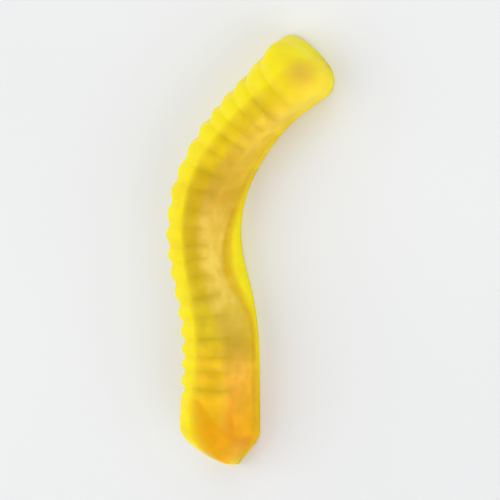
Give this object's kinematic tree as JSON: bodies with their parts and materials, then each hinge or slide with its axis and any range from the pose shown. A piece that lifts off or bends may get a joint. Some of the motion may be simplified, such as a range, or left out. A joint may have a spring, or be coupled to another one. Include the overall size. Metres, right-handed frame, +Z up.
{
  "type": "gummy worm",
  "caption": "Chewy moulded sweet in the shape of a bent worm, with a flat back, a blunt head, a pointed tail and narrow ribs across its rounded crest.",
  "frame": {"origin": "middle of the bottom of the bounding box, on the plane of the flat back", "axes": "+Y towards the blunt head along the worm's length, +Z up from the flat back to the ribbed crest, +X to the side that the head bends to"},
  "size_m": [0.0232, 0.059, 0.008],
  "materials": {
    "lemon_gummy": "translucent lemon yellow jelly with a thin oiled gloss"
  },
  "bodies": {
    "root": {"gummy_worm": "lemon_gummy"}
  },
  "joints": []
}
